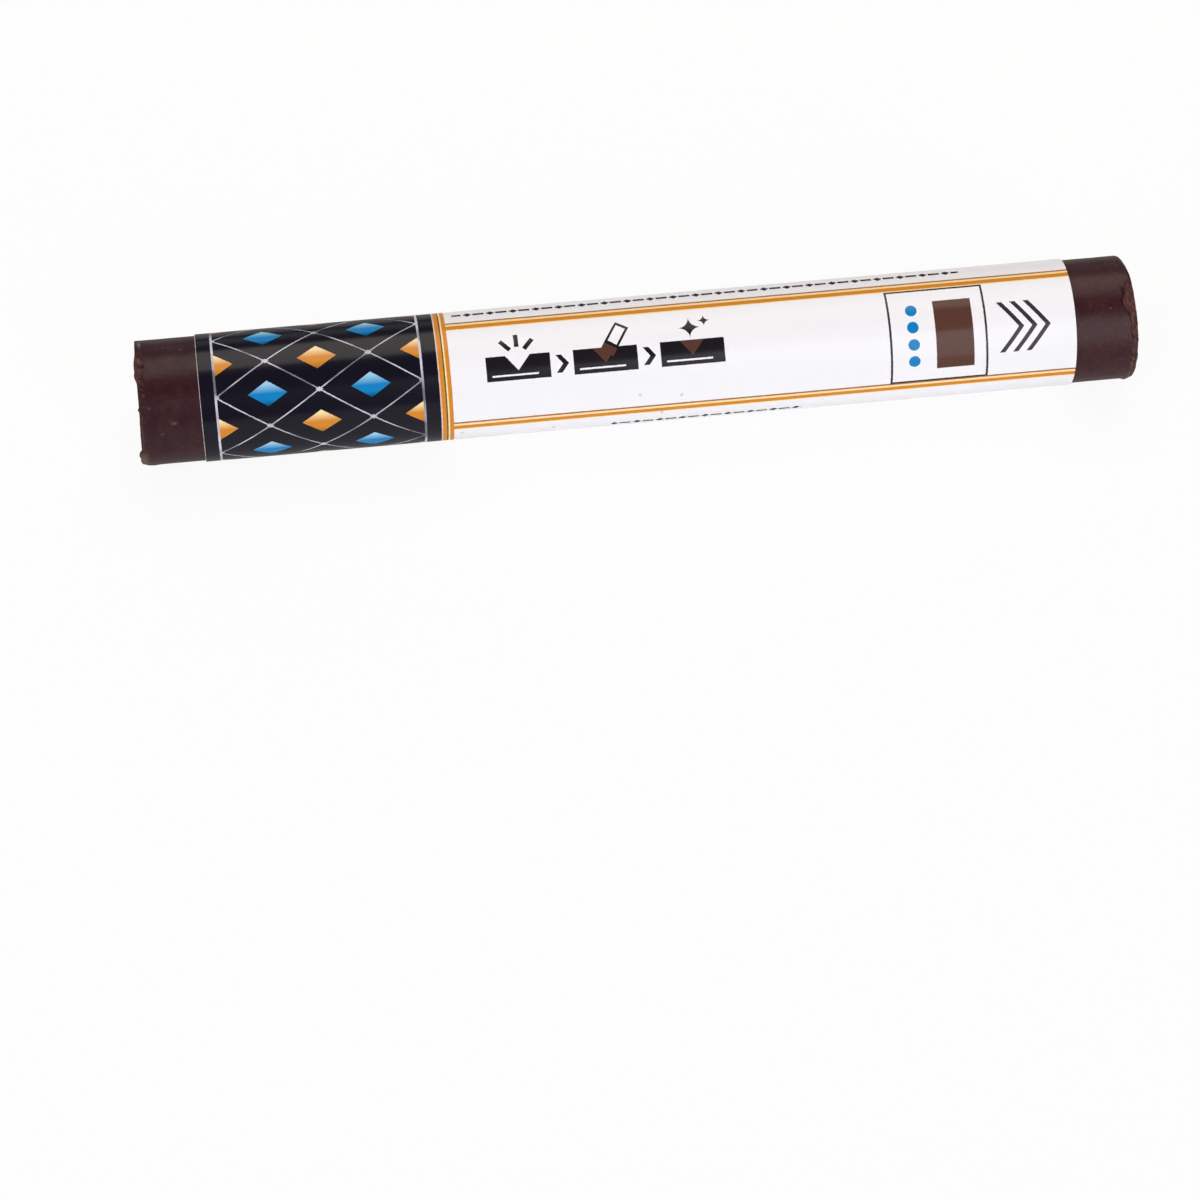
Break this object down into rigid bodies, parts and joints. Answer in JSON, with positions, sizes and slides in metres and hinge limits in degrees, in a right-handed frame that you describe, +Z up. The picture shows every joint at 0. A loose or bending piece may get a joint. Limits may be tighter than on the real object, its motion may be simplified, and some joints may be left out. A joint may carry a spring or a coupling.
{
  "type": "furniture repair wax stick",
  "caption": "Round stick of hard dark brown wax in a wound gloss paper label with bare cut ends, rubbed into scratches and dents to fill them on finished wood.",
  "frame": {"origin": "on the table under the middle of the lying stick", "axes": "+X along the stick away from its dark panel, +Z up, and the label's front panel faces -Y and up"},
  "size_m": [0.0892, 0.0114, 0.0114],
  "materials": {
    "wax": "satin",
    "adhesive": "gloss",
    "label": "gloss"
  },
  "bodies": {
    "root": {"wax_stick": "wax", "label_adhesive": "adhesive", "label_paper": "label"}
  },
  "joints": []
}
